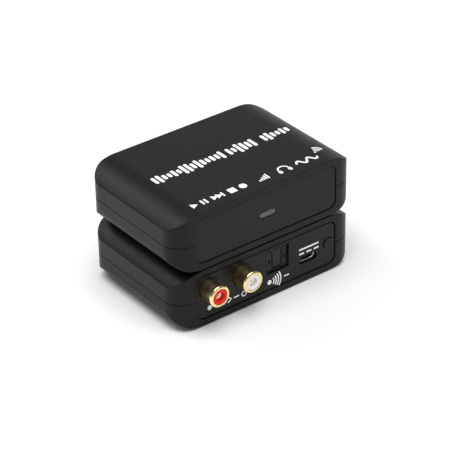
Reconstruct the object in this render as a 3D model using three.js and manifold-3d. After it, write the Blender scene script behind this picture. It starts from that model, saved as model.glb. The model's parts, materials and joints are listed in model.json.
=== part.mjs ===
// Wireless audio link: two identical small plastic boxes, stacked.
// The lower box (transmitter) is turned half round, so its sockets face -Y.
// The upper box (receiver) stands on it on four rubber feet, with its indicator facing -Y.
// Millimetres, +Z up, origin at the centre of the footprint on the surface the stack stands on.
import * as THREE from 'three';
import { mergeVertices } from 'three/addons/utils/BufferGeometryUtils.js';
import Module from 'manifold-3d';

const wasm = await Module();
wasm.setup();

// ---------------------------------------------------------------- driving dimensions
const CASE = {
  width: 80,
  depth: 52.6,
  height: 22.65,
  wall: 1.8,
  planCorner: 7.5,
  bottomRoundWide: 12.2,
  bottomRoundHigh: 6.8,
  crownWide: 12.2,
  crownRadius: 16.8,
  splitHeight: 10.9,
};
const FOOT = { radius: 3.5, proud: 0.45, inset: 0.4, bevel: 0.25, x: 23, y: 18 };
const PANEL = {
  width: 62.2, low: 2.6, high: 19.9, corner: 3, thickness: 1.9, recess: 0.35, flange: 1.2, lip: 1.0,
};
const BOARD = { width: 70, depth: 44.6, top: 7.3, thickness: 1.6, corner: 3 };
const POST = { x: 24, radius: 2.9, baseRadius: 4, baseTop: 4.4, top: 13, boardHole: 3.15 };
const SCREW = { headRadius: 2.4, headHeight: 1.8, headLow: 0.7, radius: 1.2, tip: 18 };
const CROSS = { arm: 1.3, half: 0.3, deep: 0.9 };
const STAND = { x: 31, y: 15.5, radius: 2.2 };
const RCA = { red: 25.75, white: 11.15, height: 13.8, reach: 6.1, back: 14.2 };
const RCA_BLOCK = { margin: 6, wall: 1.6, above: 5.6 };
const RCA_SLEEVE = {
  radius: 4.15, bore: 3.05, neck: 3.8, rim: 4.2, mouth: 3.35,
  rootReach: 2.7, taper: 0.2, rimWide: 0.35, dome: 0.8,
};
const RCA_INSULATOR = { bore: 1.7, recess: 0.05, bevel: 0.3 };
const RCA_CONTACT = { radius: 1.65, bore: 1.3, mouth: 0.5, behindTip: 1.15, closing: 0.6, floor: 2 };
const OPTIC = { x: -4.85, height: 13.9, wide: 9.85, high: 9.5, corner: 0.3, recess: 1.05, floor: 15.6 };
const OPTIC_BLOCK = { halfWide: 6.2, above: 5.8, backWall: 2, lightHole: 1.65 };
const SHUTTER = {
  wide: 8.6, drop: 8.05, thickness: 0.7, axisBelowTop: 0.65, pin: 0.3, pinReach: 0.25, setBack: 0.15,
};
const CAVITY = { wide: 8.8, high: 8.5 };
const CELL = { halfWide: 4.2, depth: 3.6, above: 4, lens: 1.4, lensReach: 1.2 };
const USB = { x: -18.65, height: 8.8, wide: 8, high: 2.85, corner: 1, recess: 1.35, depth: 5.5 };
const USB_SHELL = { top: 7.2, bottom: 5.6, high: 2.3, slant: 0.9, sheet: 0.3 };
const USB_TONGUE = { halfWide: 1.9, low: 0.1, high: 0.7, recess: 0.8 };
const USB_HEEL = { halfWide: 2.5, low: -0.6, high: 0.75, depth: 1 };
const BUTTON = { x: -28.2, height: 11.3, radius: 2.45, proud: 0.1, back: 21.2, flange: 3.1, bevel: 0.3 };
const SWITCH = { halfWide: 3, depth: 3.5, above: 3, plunger: 1.5, plungerReach: 1.4, travelGap: 0.5 };
const LED = { x: 0.4, height: 11.4, wide: 7.2, high: 2.35, recess: 0.45, flange: 0.7, flangeDepth: 0.8 };
const STATUS_LED = { halfWide: 2.5, halfHigh: 1, depth: 4.8, behindPanel: 1, leadSpacing: 2.54, lead: 0.5 };
const SHIELD = { x: 2, y: -9.5, width: 17, depth: 13, height: 2.6, sheet: 0.3, corner: 0.8 };
const CHIP = { x: 17, y: -10, side: 8, height: 1.3, chamfer: 0.7 };
const CAPACITOR = { x: -14, y: 4, radius: 3.15, height: 7.6, halfBase: 3.4, baseHeight: 0.8 };

const GAP = 0.1;          // clearance between pieces that meet
const FINE_GAP = 0.05;    // clearance where one piece stands on another
const ROUND = 16;         // sides of a turned piece
const SMALL_ROUND = 12;   // sides of a thin rod or bore
const ARC = 5;            // steps along a rounded corner
const SMALL_ARC = 3;      // steps along a small rounded corner
const BEYOND = 1;         // how far a cutting shape passes the surface it cuts
const OUTSIDE = 60;       // half the side of a block larger than the whole object

const FRONT = -CASE.depth / 2;
const REAR = CASE.depth / 2;
const PANEL_BACK = REAR - PANEL.thickness - PANEL.flange;
const STACK_PITCH = CASE.height + FOOT.proud + FINE_GAP;

// ---------------------------------------------------------------- materials
function material(color, roughness, metalness = 0) {
  return new THREE.MeshStandardMaterial({ color, roughness, metalness });
}

const FINISH = {
  shell: [0x222224, 0.42],
  panel: [0x1f1f21, 0.32],
  rubber: [0x141414, 0.85],
  gold: [0xd9a441, 0.22, 1],
  red: [0xc81e14, 0.35],
  white: [0xf2f0ea, 0.4],
  contact: [0xb08d57, 0.35, 1],
  blackPlastic: [0x161616, 0.5],
  board: [0x14402a, 0.5],
  tin: [0xb8bbbe, 0.3, 1],
  lens: [0x55575a, 0.25],
  clear: [0xe8ece8, 0.15],
};

// ---------------------------------------------------------------- shapes
function solidOf(geometry) {
  const plain = geometry.clone();
  plain.deleteAttribute('normal');
  plain.deleteAttribute('uv');
  const merged = mergeVertices(plain, 1e-5);
  const mesh = new wasm.Mesh({
    numProp: 3,
    vertProperties: Float32Array.from(merged.attributes.position.array),
    triVerts: Uint32Array.from(merged.index.array),
  });
  return new wasm.Manifold(mesh);
}

function geometryOf(solid) {
  const mesh = solid.getMesh();
  const geometry = new THREE.BufferGeometry();
  geometry.setAttribute('position', new THREE.BufferAttribute(mesh.vertProperties, 3));
  geometry.setIndex(new THREE.BufferAttribute(mesh.triVerts, 1));
  geometry.computeVertexNormals();
  return geometry;
}

function union(...solids) {
  return solids.reduce((all, one) => all.add(one));
}

// A box from its lowest to its highest corner.
function block(low, high) {
  const size = high.map((value, i) => value - low[i]);
  const geometry = new THREE.BoxGeometry(...size);
  geometry.translate(...low.map((value, i) => value + size[i] / 2));
  return solidOf(geometry);
}

function rodAlongZ(radius, x, y, low, high, sides = ROUND) {
  const geometry = new THREE.CylinderGeometry(radius, radius, high - low, sides);
  geometry.rotateX(Math.PI / 2);
  geometry.translate(x, y, (low + high) / 2);
  return solidOf(geometry);
}

function rodAlongY(radius, x, z, low, high, sides = ROUND) {
  const geometry = new THREE.CylinderGeometry(radius, radius, high - low, sides);
  geometry.translate(x, (low + high) / 2, z);
  return solidOf(geometry);
}

function rodAlongX(radius, y, z, low, high, sides = ROUND) {
  const geometry = new THREE.CylinderGeometry(radius, radius, high - low, sides);
  geometry.rotateZ(Math.PI / 2);
  geometry.translate((low + high) / 2, y, z);
  return solidOf(geometry);
}

function roundedRectangle(wide, high, corner) {
  const x = wide / 2 - corner;
  const y = high / 2 - corner;
  const quarter = Math.PI / 2;
  const shape = new THREE.Shape();
  shape.moveTo(x, -y - corner);
  shape.absarc(x, -y, corner, -quarter, 0, false);
  shape.absarc(x, y, corner, 0, quarter, false);
  shape.absarc(-x, y, corner, quarter, 2 * quarter, false);
  shape.absarc(-x, -y, corner, 2 * quarter, 3 * quarter, false);
  shape.closePath();
  return shape;
}

// A flat outline given in x and z, standing upright from y = low to y = high.
function upright(shape, low, high, x = 0, z = 0, steps = ARC) {
  const geometry = new THREE.ExtrudeGeometry(shape, {
    depth: high - low,
    bevelEnabled: false,
    curveSegments: steps,
  });
  geometry.rotateX(Math.PI / 2);
  geometry.translate(x, high, z);
  return solidOf(geometry);
}

// A flat outline given in x and y, lying from z = low to z = high.
function lying(shape, low, high, x = 0, y = 0, steps = ARC) {
  const geometry = new THREE.ExtrudeGeometry(shape, {
    depth: high - low,
    bevelEnabled: false,
    curveSegments: steps,
  });
  geometry.translate(x, y, low);
  return solidOf(geometry);
}

// A profile of [radius, distance] points turned about the Y direction.
function turnedAlongY(points, x, z) {
  const profile = points.map(([radius, along]) => new THREE.Vector2(radius, along));
  const geometry = new THREE.LatheGeometry(profile, ROUND);
  geometry.translate(x, 0, z);
  return solidOf(geometry);
}

function slot(wide, high, low, top, x, z) {
  return upright(roundedRectangle(wide, high, high / 2 - 0.01), low, top, x, z, SMALL_ARC);
}

// ---------------------------------------------------------------- the case
// Cross-section of the case, seen from the front: flat top, crowned shoulders that break
// at a crease, upright walls and wide rounded bottom corners. inset shrinks it all round.
function caseSection(inset) {
  const half = CASE.width / 2 - inset;
  const shoulder = CASE.width / 2 - CASE.crownWide;
  const radius = CASE.crownRadius - inset;
  const centre = CASE.height - CASE.crownRadius;
  const breakAngle = Math.acos((half - shoulder) / radius);
  const bottomX = CASE.width / 2 - CASE.bottomRoundWide;
  const bottomWide = CASE.bottomRoundWide - inset;
  const bottomHigh = CASE.bottomRoundHigh - inset;
  const quarter = Math.PI / 2;
  const shape = new THREE.Shape();
  shape.moveTo(-bottomX, inset);
  shape.lineTo(bottomX, inset);
  shape.absellipse(bottomX, CASE.bottomRoundHigh, bottomWide, bottomHigh, -quarter, 0, false, 0);
  shape.lineTo(half, centre + radius * Math.sin(breakAngle));
  shape.absarc(shoulder, centre, radius, breakAngle, quarter, false);
  shape.lineTo(-shoulder, centre + radius);
  shape.absarc(-shoulder, centre, radius, quarter, Math.PI - breakAngle, false);
  shape.lineTo(-half, CASE.bottomRoundHigh);
  shape.absellipse(-bottomX, CASE.bottomRoundHigh, bottomWide, bottomHigh, Math.PI, 3 * quarter, false, 0);
  return shape;
}

function caseBlock(inset) {
  const plan = roundedRectangle(
    CASE.width - 2 * inset,
    CASE.depth - 2 * inset,
    CASE.planCorner - inset,
  );
  const section = upright(caseSection(inset), FRONT + inset, REAR - inset);
  return section.intersect(lying(plan, -BEYOND, CASE.height + BEYOND));
}

function panelOutline(grow) {
  const wide = PANEL.width + 2 * grow;
  const high = PANEL.high - PANEL.low + 2 * grow;
  return roundedRectangle(wide, high, PANEL.corner + grow);
}

const PANEL_MIDDLE = (PANEL.low + PANEL.high) / 2;

// The hollow case with both panel windows cut out.
function hollowCase() {
  const reach = CASE.wall + BEYOND;
  const window = panelOutline(GAP);
  return caseBlock(0)
    .subtract(caseBlock(CASE.wall))
    .subtract(upright(window, FRONT - BEYOND, FRONT + reach, 0, PANEL_MIDDLE))
    .subtract(upright(window, REAR - reach, REAR + BEYOND, 0, PANEL_MIDDLE));
}

function corners(x, y) {
  return [[-x, -y], [x, -y], [x, y], [-x, y]];
}

function bottomShell() {
  const edge = CASE.splitHeight - GAP / 2;
  const below = block([-OUTSIDE, -OUTSIDE, -OUTSIDE], [OUTSIDE, OUTSIDE, edge]);
  const inWall = CASE.wall / 2;
  let shell = hollowCase().intersect(below);
  for (const side of [-1, 1]) {
    const x = side * POST.x;
    const base = rodAlongZ(POST.baseRadius, x, 0, inWall, POST.baseTop);
    const post = rodAlongZ(POST.radius, x, 0, inWall, POST.top);
    const headSeat = SCREW.headLow + SCREW.headHeight + GAP;
    const headBore = rodAlongZ(SCREW.headRadius + 2 * GAP, x, 0, -BEYOND, headSeat);
    const shaftBore = rodAlongZ(SCREW.radius + 2 * GAP, x, 0, -BEYOND, POST.top + BEYOND, SMALL_ROUND);
    shell = union(shell, base, post).subtract(headBore).subtract(shaftBore);
  }
  for (const [x, y] of corners(STAND.x, STAND.y)) {
    const standTop = BOARD.top - BOARD.thickness - FINE_GAP;
    shell = shell.add(rodAlongZ(STAND.radius, x, y, inWall, standTop, SMALL_ROUND));
  }
  for (const [x, y] of corners(FOOT.x, FOOT.y)) {
    shell = shell.subtract(rodAlongZ(FOOT.radius + GAP, x, y, -BEYOND, FOOT.inset + FINE_GAP));
  }
  return shell;
}

function topShell() {
  const edge = CASE.splitHeight + GAP / 2;
  const above = block([-OUTSIDE, -OUTSIDE, edge], [OUTSIDE, OUTSIDE, OUTSIDE]);
  let shell = hollowCase().intersect(above);
  for (const side of [-1, 1]) {
    const x = side * POST.x;
    const low = POST.top + GAP;
    const boss = rodAlongZ(POST.radius, x, 0, low, CASE.height - CASE.wall / 2);
    const bore = rodAlongZ(SCREW.radius + GAP, x, 0, low - BEYOND, SCREW.tip + 2 * GAP, SMALL_ROUND);
    shell = shell.add(boss).subtract(bore);
  }
  return shell;
}

// A panel plate with a wider flange behind it that the shells trap. facing is -1 or 1.
function blankPanel(facing) {
  const outer = REAR - PANEL.recess;
  const step = REAR - PANEL.thickness;
  const back = step - PANEL.flange;
  const [plateLow, plateHigh] = facing > 0 ? [step - GAP, outer] : [-outer, -step + GAP];
  const [lipLow, lipHigh] = facing > 0 ? [back, step] : [-step, -back];
  const plate = upright(panelOutline(-GAP), plateLow, plateHigh, 0, PANEL_MIDDLE);
  const lip = upright(panelOutline(PANEL.lip - 2 * GAP), lipLow, lipHigh, 0, PANEL_MIDDLE);
  return plate.add(lip);
}

function frontPanel() {
  const back = -PANEL_BACK + BEYOND;
  return blankPanel(-1).subtract(slot(LED.wide, LED.high, FRONT - BEYOND, back, LED.x, LED.height));
}

function rearPanel() {
  const low = PANEL_BACK - BEYOND;
  const high = REAR + BEYOND;
  let panel = blankPanel(1);
  for (const x of [RCA.red, RCA.white]) {
    panel = panel.subtract(rodAlongY(RCA_SLEEVE.radius + GAP, x, RCA.height, low, high));
  }
  const socket = roundedRectangle(OPTIC.wide, OPTIC.high, OPTIC.corner);
  const port = roundedRectangle(USB.wide, USB.high, USB.corner);
  return panel
    .subtract(upright(socket, low, high, OPTIC.x, OPTIC.height, 2))
    .subtract(upright(port, low, high, USB.x, USB.height, SMALL_ARC))
    .subtract(rodAlongY(BUTTON.radius + GAP, BUTTON.x, BUTTON.height, low, high));
}

function foot(x, y) {
  const { radius, proud, bevel, inset } = FOOT;
  const profile = [
    [0, -proud],
    [radius - bevel, -proud],
    [radius, -proud + bevel],
    [radius, inset],
    [0, inset],
  ];
  const points = profile.map(([out, along]) => new THREE.Vector2(out, along));
  const geometry = new THREE.LatheGeometry(points, ROUND);
  geometry.rotateX(Math.PI / 2);
  geometry.translate(x, y, 0);
  return solidOf(geometry);
}

function caseScrew(x) {
  const low = SCREW.headLow;
  const neck = low + SCREW.headHeight;
  const head = rodAlongZ(SCREW.headRadius, x, 0, low, neck);
  const shaft = rodAlongZ(SCREW.radius, x, 0, neck - GAP, SCREW.tip, SMALL_ROUND);
  const { arm, half, deep } = CROSS;
  const recess = union(
    block([x - arm, -half, low - BEYOND], [x + arm, half, low + deep]),
    block([x - half, -arm, low - BEYOND], [x + half, arm, low + deep]),
  );
  return head.add(shaft).subtract(recess);
}

// ---------------------------------------------------------------- board and its parts
function mainBoard() {
  const low = BOARD.top - BOARD.thickness;
  const outline = roundedRectangle(BOARD.width, BOARD.depth, BOARD.corner);
  let board = lying(outline, low, BOARD.top, 0, 0, SMALL_ARC);
  for (const side of [-1, 1]) {
    const x = side * POST.x;
    board = board.subtract(rodAlongZ(POST.boardHole, x, 0, low - BEYOND, BOARD.top + BEYOND));
  }
  return board;
}

const ON_BOARD = BOARD.top + FINE_GAP;

function radioShield() {
  const { x, y, width, depth, height, sheet, corner } = SHIELD;
  const outer = roundedRectangle(width, depth, corner);
  const inner = roundedRectangle(width - 2 * sheet, depth - 2 * sheet, corner - sheet);
  return lying(outer, ON_BOARD, ON_BOARD + height, x, y, 2)
    .subtract(lying(inner, ON_BOARD - BEYOND, ON_BOARD + height - sheet, x, y, 2));
}

function audioChip() {
  const { x, y, side, height, chamfer } = CHIP;
  return lying(roundedRectangle(side, side, chamfer), ON_BOARD, ON_BOARD + height, x, y, 1);
}

function capacitor() {
  const { x, y, radius, height, halfBase, baseHeight } = CAPACITOR;
  const base = block(
    [x - halfBase, y - halfBase, ON_BOARD],
    [x + halfBase, y + halfBase, ON_BOARD + baseHeight],
  );
  return base.add(rodAlongZ(radius, x, y, ON_BOARD + baseHeight / 2, ON_BOARD + height));
}

// Side-looking lamp behind the window, on two leads down to the board.
function statusLed() {
  const { halfWide, halfHigh, depth, behindPanel, leadSpacing, lead } = STATUS_LED;
  const face = -PANEL_BACK + behindPanel;
  const back = face + depth;
  const body = block(
    [LED.x - halfWide, face, LED.height - halfHigh],
    [LED.x + halfWide, back, LED.height + halfHigh],
  );
  const leads = [-1, 1].map((side) => {
    const x = LED.x + side * leadSpacing / 2;
    return block([x - lead / 2, back - 1.5 * lead, ON_BOARD], [x + lead / 2, back - lead / 2, LED.height]);
  });
  return union(body, ...leads);
}

function ledWindow() {
  const back = -PANEL_BACK;
  const { wide, high, x, height, recess, flange, flangeDepth } = LED;
  const lens = slot(wide - 2 * GAP, high - 2 * GAP, FRONT + recess, back + flangeDepth / 2, x, height);
  const lip = slot(wide + 2 * flange, high + 2 * flange, back + GAP, back + flangeDepth, x, height);
  return lens.add(lip);
}

// ---------------------------------------------------------------- twin phono socket
function rcaBlock() {
  const { margin, wall, above } = RCA_BLOCK;
  const body = block(
    [RCA.white - margin, RCA.back - wall, ON_BOARD],
    [RCA.red + margin, PANEL_BACK - GAP, RCA.height + above],
  );
  const bores = [RCA.red, RCA.white].map((x) => (
    rodAlongY(RCA_SLEEVE.radius + GAP, x, RCA.height, RCA.back - GAP, REAR)
  ));
  return body.subtract(bores[0]).subtract(bores[1]);
}

const RCA_TIP = REAR + RCA.reach;

// Gilded barrel: long root, narrow neck, then a thin rim whose domed front closes in on the mouth.
function rcaSleeve(x) {
  const { radius, bore, neck, rim, mouth, rootReach, taper, rimWide, dome } = RCA_SLEEVE;
  const domeBack = RCA_TIP - dome;
  const rimBack = domeBack - rimWide;
  const profile = [
    [bore, RCA.back],
    [radius, RCA.back],
    [radius, REAR + rootReach],
    [neck, REAR + rootReach + taper],
    [neck, rimBack],
    [rim, rimBack],
    [rim, domeBack],
    [(rim + mouth) / 2, RCA_TIP - dome / 4],
    [mouth, RCA_TIP],
    [bore, RCA_TIP],
    [bore, RCA.back],
  ];
  return turnedAlongY(profile, x, RCA.height);
}

function rcaInsulator(x) {
  const { bore, recess, bevel } = RCA_INSULATOR;
  const outer = RCA_SLEEVE.bore - FINE_GAP;
  const low = RCA.back + 2 * GAP;
  const high = RCA_TIP - recess;
  const profile = [
    [bore, low],
    [outer, low],
    [outer, high],
    [bore + bevel, high],
    [bore, high - bevel],
    [bore, low],
  ];
  return turnedAlongY(profile, x, RCA.height);
}

// Spring tube that grips the centre pin of a plug: its mouth closes in, its end is blind.
function rcaContact(x) {
  const { radius, bore, mouth, behindTip, closing, floor } = RCA_CONTACT;
  const low = RCA.back + 3 * GAP;
  const high = RCA_TIP - behindTip;
  const profile = [
    [0, low],
    [radius, low],
    [radius, high - closing],
    [mouth + closing / 2, high],
    [mouth, high],
    [bore, high - 2 * closing],
    [bore, low + floor],
    [0, low + floor],
  ];
  return turnedAlongY(profile, x, RCA.height);
}

// ---------------------------------------------------------------- optical socket
const OPTIC_FACE = REAR - OPTIC.recess;
const OPTIC_BACK = OPTIC.floor - OPTIC_BLOCK.backWall;
const CAVITY_TOP = OPTIC.height + CAVITY.high / 2;
const SHUTTER_AXIS = {
  y: OPTIC_FACE - SHUTTER.thickness / 2 - SHUTTER.setBack,
  z: CAVITY_TOP - SHUTTER.axisBelowTop,
};

function opticalHousing() {
  const { halfWide, above, lightHole } = OPTIC_BLOCK;
  const noseHalfWide = OPTIC.wide / 2 - GAP;
  const noseHalfHigh = OPTIC.high / 2 - GAP;
  const body = block(
    [OPTIC.x - halfWide, OPTIC_BACK, ON_BOARD],
    [OPTIC.x + halfWide, PANEL_BACK - GAP, OPTIC.height + above],
  );
  const nose = block(
    [OPTIC.x - noseHalfWide, OPTIC_BACK, OPTIC.height - noseHalfHigh],
    [OPTIC.x + noseHalfWide, OPTIC_FACE, OPTIC.height + noseHalfHigh],
  );
  const cavity = block(
    [OPTIC.x - CAVITY.wide / 2, OPTIC.floor, OPTIC.height - CAVITY.high / 2],
    [OPTIC.x + CAVITY.wide / 2, REAR, CAVITY_TOP],
  );
  const hole = rodAlongY(
    lightHole, OPTIC.x, OPTIC.height, OPTIC_BACK - BEYOND, OPTIC.floor + BEYOND, SMALL_ROUND,
  );
  const reach = SHUTTER.wide / 2 + SHUTTER.pinReach + GAP;
  const pinHole = rodAlongX(
    SHUTTER.pin + GAP, SHUTTER_AXIS.y, SHUTTER_AXIS.z, OPTIC.x - reach, OPTIC.x + reach, SMALL_ROUND,
  );
  return body.add(nose).subtract(cavity).subtract(hole).subtract(pinHole);
}

// Sprung flap across the mouth: a plate hung from two pins at its top edge.
function opticalShutter() {
  const half = SHUTTER.wide / 2;
  const thick = SHUTTER.thickness / 2;
  const reach = half + SHUTTER.pinReach;
  const { y, z } = SHUTTER_AXIS;
  const plate = block(
    [OPTIC.x - half, y - thick, z + thick - SHUTTER.drop],
    [OPTIC.x + half, y + thick, z],
  );
  const knuckle = rodAlongX(thick, y, z, OPTIC.x - half, OPTIC.x + half, SMALL_ROUND);
  const pins = rodAlongX(SHUTTER.pin, y, z, OPTIC.x - reach, OPTIC.x + reach, SMALL_ROUND);
  return union(plate, knuckle, pins);
}

// Light sensor behind the socket, looking through the hole in its back wall.
function opticalCell() {
  const { halfWide, depth, above, lens, lensReach } = CELL;
  const back = OPTIC_BACK - GAP;
  const body = block(
    [OPTIC.x - halfWide, back - depth, ON_BOARD],
    [OPTIC.x + halfWide, back, OPTIC.height + above],
  );
  return body.add(rodAlongY(lens, OPTIC.x, OPTIC.height, back - BEYOND, back + lensReach, SMALL_ROUND));
}

// ---------------------------------------------------------------- power socket
// The socket's section, shrunk all round by inset: square shoulders above, sides slanted to a narrow floor.
function usbSection(inset) {
  const { top, bottom, high, slant } = USB_SHELL;
  const halfTop = top / 2 - inset;
  const halfBottom = bottom / 2 - inset;
  const half = high / 2 - inset;
  const shape = new THREE.Shape();
  shape.moveTo(-halfBottom, -half);
  shape.lineTo(halfBottom, -half);
  shape.lineTo(halfTop, -half + slant);
  shape.lineTo(halfTop, half);
  shape.lineTo(-halfTop, half);
  shape.lineTo(-halfTop, -half + slant);
  shape.closePath();
  return shape;
}

const USB_FACE = REAR - USB.recess;
const USB_BACK = USB_FACE - USB.depth;

function usbShell() {
  const { sheet } = USB_SHELL;
  return upright(usbSection(0), USB_BACK, USB_FACE, USB.x, USB.height)
    .subtract(upright(usbSection(sheet), USB_BACK + sheet, REAR, USB.x, USB.height));
}

function usbTongue() {
  const start = USB_BACK + USB_SHELL.sheet + FINE_GAP;
  const heel = block(
    [USB.x - USB_HEEL.halfWide, start, USB.height + USB_HEEL.low],
    [USB.x + USB_HEEL.halfWide, start + USB_HEEL.depth, USB.height + USB_HEEL.high],
  );
  const tongue = block(
    [USB.x - USB_TONGUE.halfWide, start, USB.height + USB_TONGUE.low],
    [USB.x + USB_TONGUE.halfWide, USB_FACE - USB_TONGUE.recess, USB.height + USB_TONGUE.high],
  );
  return heel.add(tongue);
}

// ---------------------------------------------------------------- push button
function buttonCap() {
  const tip = REAR + BUTTON.proud;
  const { radius, flange, back, bevel } = BUTTON;
  const shoulder = PANEL_BACK - GAP;
  const profile = [
    [0, back],
    [flange, back],
    [flange, shoulder],
    [radius, shoulder],
    [radius, tip - bevel],
    [radius - bevel, tip],
    [0, tip],
  ];
  return turnedAlongY(profile, BUTTON.x, BUTTON.height);
}

// Side-acting switch; its plunger stops short of the cap by the cap's travel.
function tactSwitch() {
  const { halfWide, depth, above, plunger, plungerReach, travelGap } = SWITCH;
  const tip = BUTTON.back - travelGap;
  const front = tip - plungerReach;
  const body = block(
    [BUTTON.x - halfWide, front - depth, ON_BOARD],
    [BUTTON.x + halfWide, front, BUTTON.height + above],
  );
  return body.add(rodAlongY(plunger, BUTTON.x, BUTTON.height, front - BEYOND, tip, SMALL_ROUND));
}

// ---------------------------------------------------------------- one box
const SIDES = [['left', -1], ['right', 1]];

function pieces() {
  const list = [
    ['bottom_shell', bottomShell(), 'shell'],
    ['top_shell', topShell(), 'shell'],
    ['front_panel', frontPanel(), 'panel'],
    ['rear_panel', rearPanel(), 'panel'],
    ['led_window', ledWindow(), 'lens'],
    ['status_led', statusLed(), 'clear'],
    ['main_board', mainBoard(), 'board'],
    ['radio_shield', radioShield(), 'tin'],
    ['audio_chip', audioChip(), 'blackPlastic'],
    ['capacitor', capacitor(), 'tin'],
    ['rca_block', rcaBlock(), 'blackPlastic'],
    ['rca_right_sleeve', rcaSleeve(RCA.red), 'gold'],
    ['rca_right_insulator', rcaInsulator(RCA.red), 'red'],
    ['rca_right_contact', rcaContact(RCA.red), 'contact'],
    ['rca_left_sleeve', rcaSleeve(RCA.white), 'gold'],
    ['rca_left_insulator', rcaInsulator(RCA.white), 'white'],
    ['rca_left_contact', rcaContact(RCA.white), 'contact'],
    ['optical_housing', opticalHousing(), 'blackPlastic'],
    ['optical_shutter', opticalShutter(), 'blackPlastic'],
    ['optical_cell', opticalCell(), 'clear'],
    ['usb_shell', usbShell(), 'tin'],
    ['usb_tongue', usbTongue(), 'blackPlastic'],
    ['button_cap', buttonCap(), 'panel'],
    ['tact_switch', tactSwitch(), 'tin'],
  ];
  for (const [name, side] of SIDES) {
    list.push([`screw_${name}`, caseScrew(side * POST.x), 'tin']);
    list.push([`foot_front_${name}`, foot(side * FOOT.x, -FOOT.y), 'rubber']);
    list.push([`foot_rear_${name}`, foot(side * FOOT.x, FOOT.y), 'rubber']);
  }
  return list;
}

// All of one box's meshes, standing on z = 0 with the indicator towards -Y.
function box(prefix, list) {
  const group = new THREE.Group();
  for (const [name, solid, finish] of list) {
    const mesh = new THREE.Mesh(geometryOf(solid), material(...FINISH[finish]));
    mesh.name = `${prefix}_${name}`;
    mesh.position.z = FOOT.proud;
    group.add(mesh);
  }
  return group;
}

const shared = pieces();
const transmitter = box('transmitter', shared);
transmitter.rotation.z = Math.PI;
const receiver = box('receiver', shared);
receiver.position.z = STACK_PITCH;

const stack = new THREE.Group();
stack.add(transmitter, receiver);

export default stack;
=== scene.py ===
"""Looks of a stacked wireless audio pair: two alike black plastic boxes, the lower one turned half round.

Each box is built in its own frame: metres, status light towards -Y, sockets towards +Y, z = 0 at the
underside of the case. add_piece() then puts a piece where the CAD has it.
"""
import json
import math

import bmesh
import bpy
from mathutils import Matrix, Vector


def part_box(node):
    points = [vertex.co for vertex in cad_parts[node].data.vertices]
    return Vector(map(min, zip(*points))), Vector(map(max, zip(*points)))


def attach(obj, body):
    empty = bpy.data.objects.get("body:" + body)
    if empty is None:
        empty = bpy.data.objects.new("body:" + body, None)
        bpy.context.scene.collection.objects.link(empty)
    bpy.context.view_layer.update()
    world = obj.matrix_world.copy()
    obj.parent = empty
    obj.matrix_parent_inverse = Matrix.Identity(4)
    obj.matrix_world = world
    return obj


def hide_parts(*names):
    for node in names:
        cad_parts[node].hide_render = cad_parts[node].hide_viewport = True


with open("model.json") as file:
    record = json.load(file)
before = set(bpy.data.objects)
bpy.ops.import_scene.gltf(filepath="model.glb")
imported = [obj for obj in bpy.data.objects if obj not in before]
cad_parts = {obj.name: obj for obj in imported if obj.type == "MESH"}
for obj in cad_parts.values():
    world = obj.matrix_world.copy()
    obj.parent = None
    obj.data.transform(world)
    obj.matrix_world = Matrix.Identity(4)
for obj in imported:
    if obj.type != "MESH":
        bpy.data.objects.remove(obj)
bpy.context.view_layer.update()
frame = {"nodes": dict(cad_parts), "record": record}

MM = 0.001
UNITS = ("transmitter", "receiver")
FEET = ("foot_front_left", "foot_front_right", "foot_rear_left", "foot_rear_right")
SCREWS = ("screw_left", "screw_right")
FRONT_SIDE = -1            # a wall's side, as the sign of its y
REAR_SIDE = 1
RECORD = frame["record"]
BODY_OF = {node: body for body, nodes in RECORD["behaviour"]["bodies"].items() for node in nodes}
SLOT_OF = {part["node"]: part["material_slot"] for part in RECORD["subparts"]}

# ---------------------------------------------------------------- driving dimensions, in metres
WALL = 1.8 * MM
PLAN_CORNER = 7.5 * MM
CROWN_WIDE = 12.2 * MM     # how far in from each side the top is curved
CROWN_RADIUS = 16.8 * MM
UNDER_WIDE = 12.2 * MM     # the same for the underside, a quarter ellipse
UNDER_HIGH = 6.8 * MM
EDGE = 0.18 * MM           # rounding of the case's upper and lower edges
SEAM_GAP = 0.05 * MM       # from the parting line to either shell in the CAD
SEAM_OPEN = 0.08 * MM      # the same on the fine shells
SEAM_BEVEL = 0.16 * MM
GAP = 0.1 * MM             # clearance round the panels and in their holes
LIP = 0.8 * MM             # how far a panel's hidden flange passes its window
PLATE = 1.9 * MM           # from the wall's own face to a panel's flange
PANEL_CORNER = 3.0 * MM
PANEL_GAP = 0.1 * MM       # from the panel's outline to its window, and to the plate
PANEL_BEVEL = 0.12 * MM
REAR_HEADROOM = 0.3 * MM   # extra gap above the rear panel
HOLE_BEVEL = 0.1 * MM
LENS_FLANGE = 0.8 * MM     # how far the light's window reaches past its lens, behind the panel
LENS_FLANGE_DEEP = 0.7 * MM
LENS_BEVEL = 0.12 * MM
SLEEVE_ROOT = 4.15 * MM
SLEEVE_BORE = 3.05 * MM
SLEEVE_NECK = 3.8 * MM
SLEEVE_MOUTH = 3.35 * MM
ROOT_REACH = 2.7 * MM      # from the wall's own face to the step in a sleeve
RIM_WIDE = 0.35 * MM
DOME = 0.8 * MM
PORT_HALF_WIDE = 4.925 * MM
PORT_HALF_HIGH = 4.75 * MM
PORT_CORNER = 0.35 * MM
PORT_BELOW_TOP = 5.8 * MM  # from the top of the optical block to the plug's axis
USB_HALF_WIDE = 4.0 * MM
USB_HALF_HIGH = 1.425 * MM
USB_CORNER = 1.0 * MM
USB_BEVEL = 0.16 * MM
USB_KNEE = 0.9 / 1.15      # height of the slanted sides, as a share of half the section's height
BUTTON_RADIUS = 2.45 * MM
BUTTON_GAP = 0.07 * MM
BUTTON_BEVEL = 0.07 * MM
PRINT_THICK = 0.02 * MM
OVERSHOOT = 1.0 * MM       # how far a cutter passes what it cuts

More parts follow.
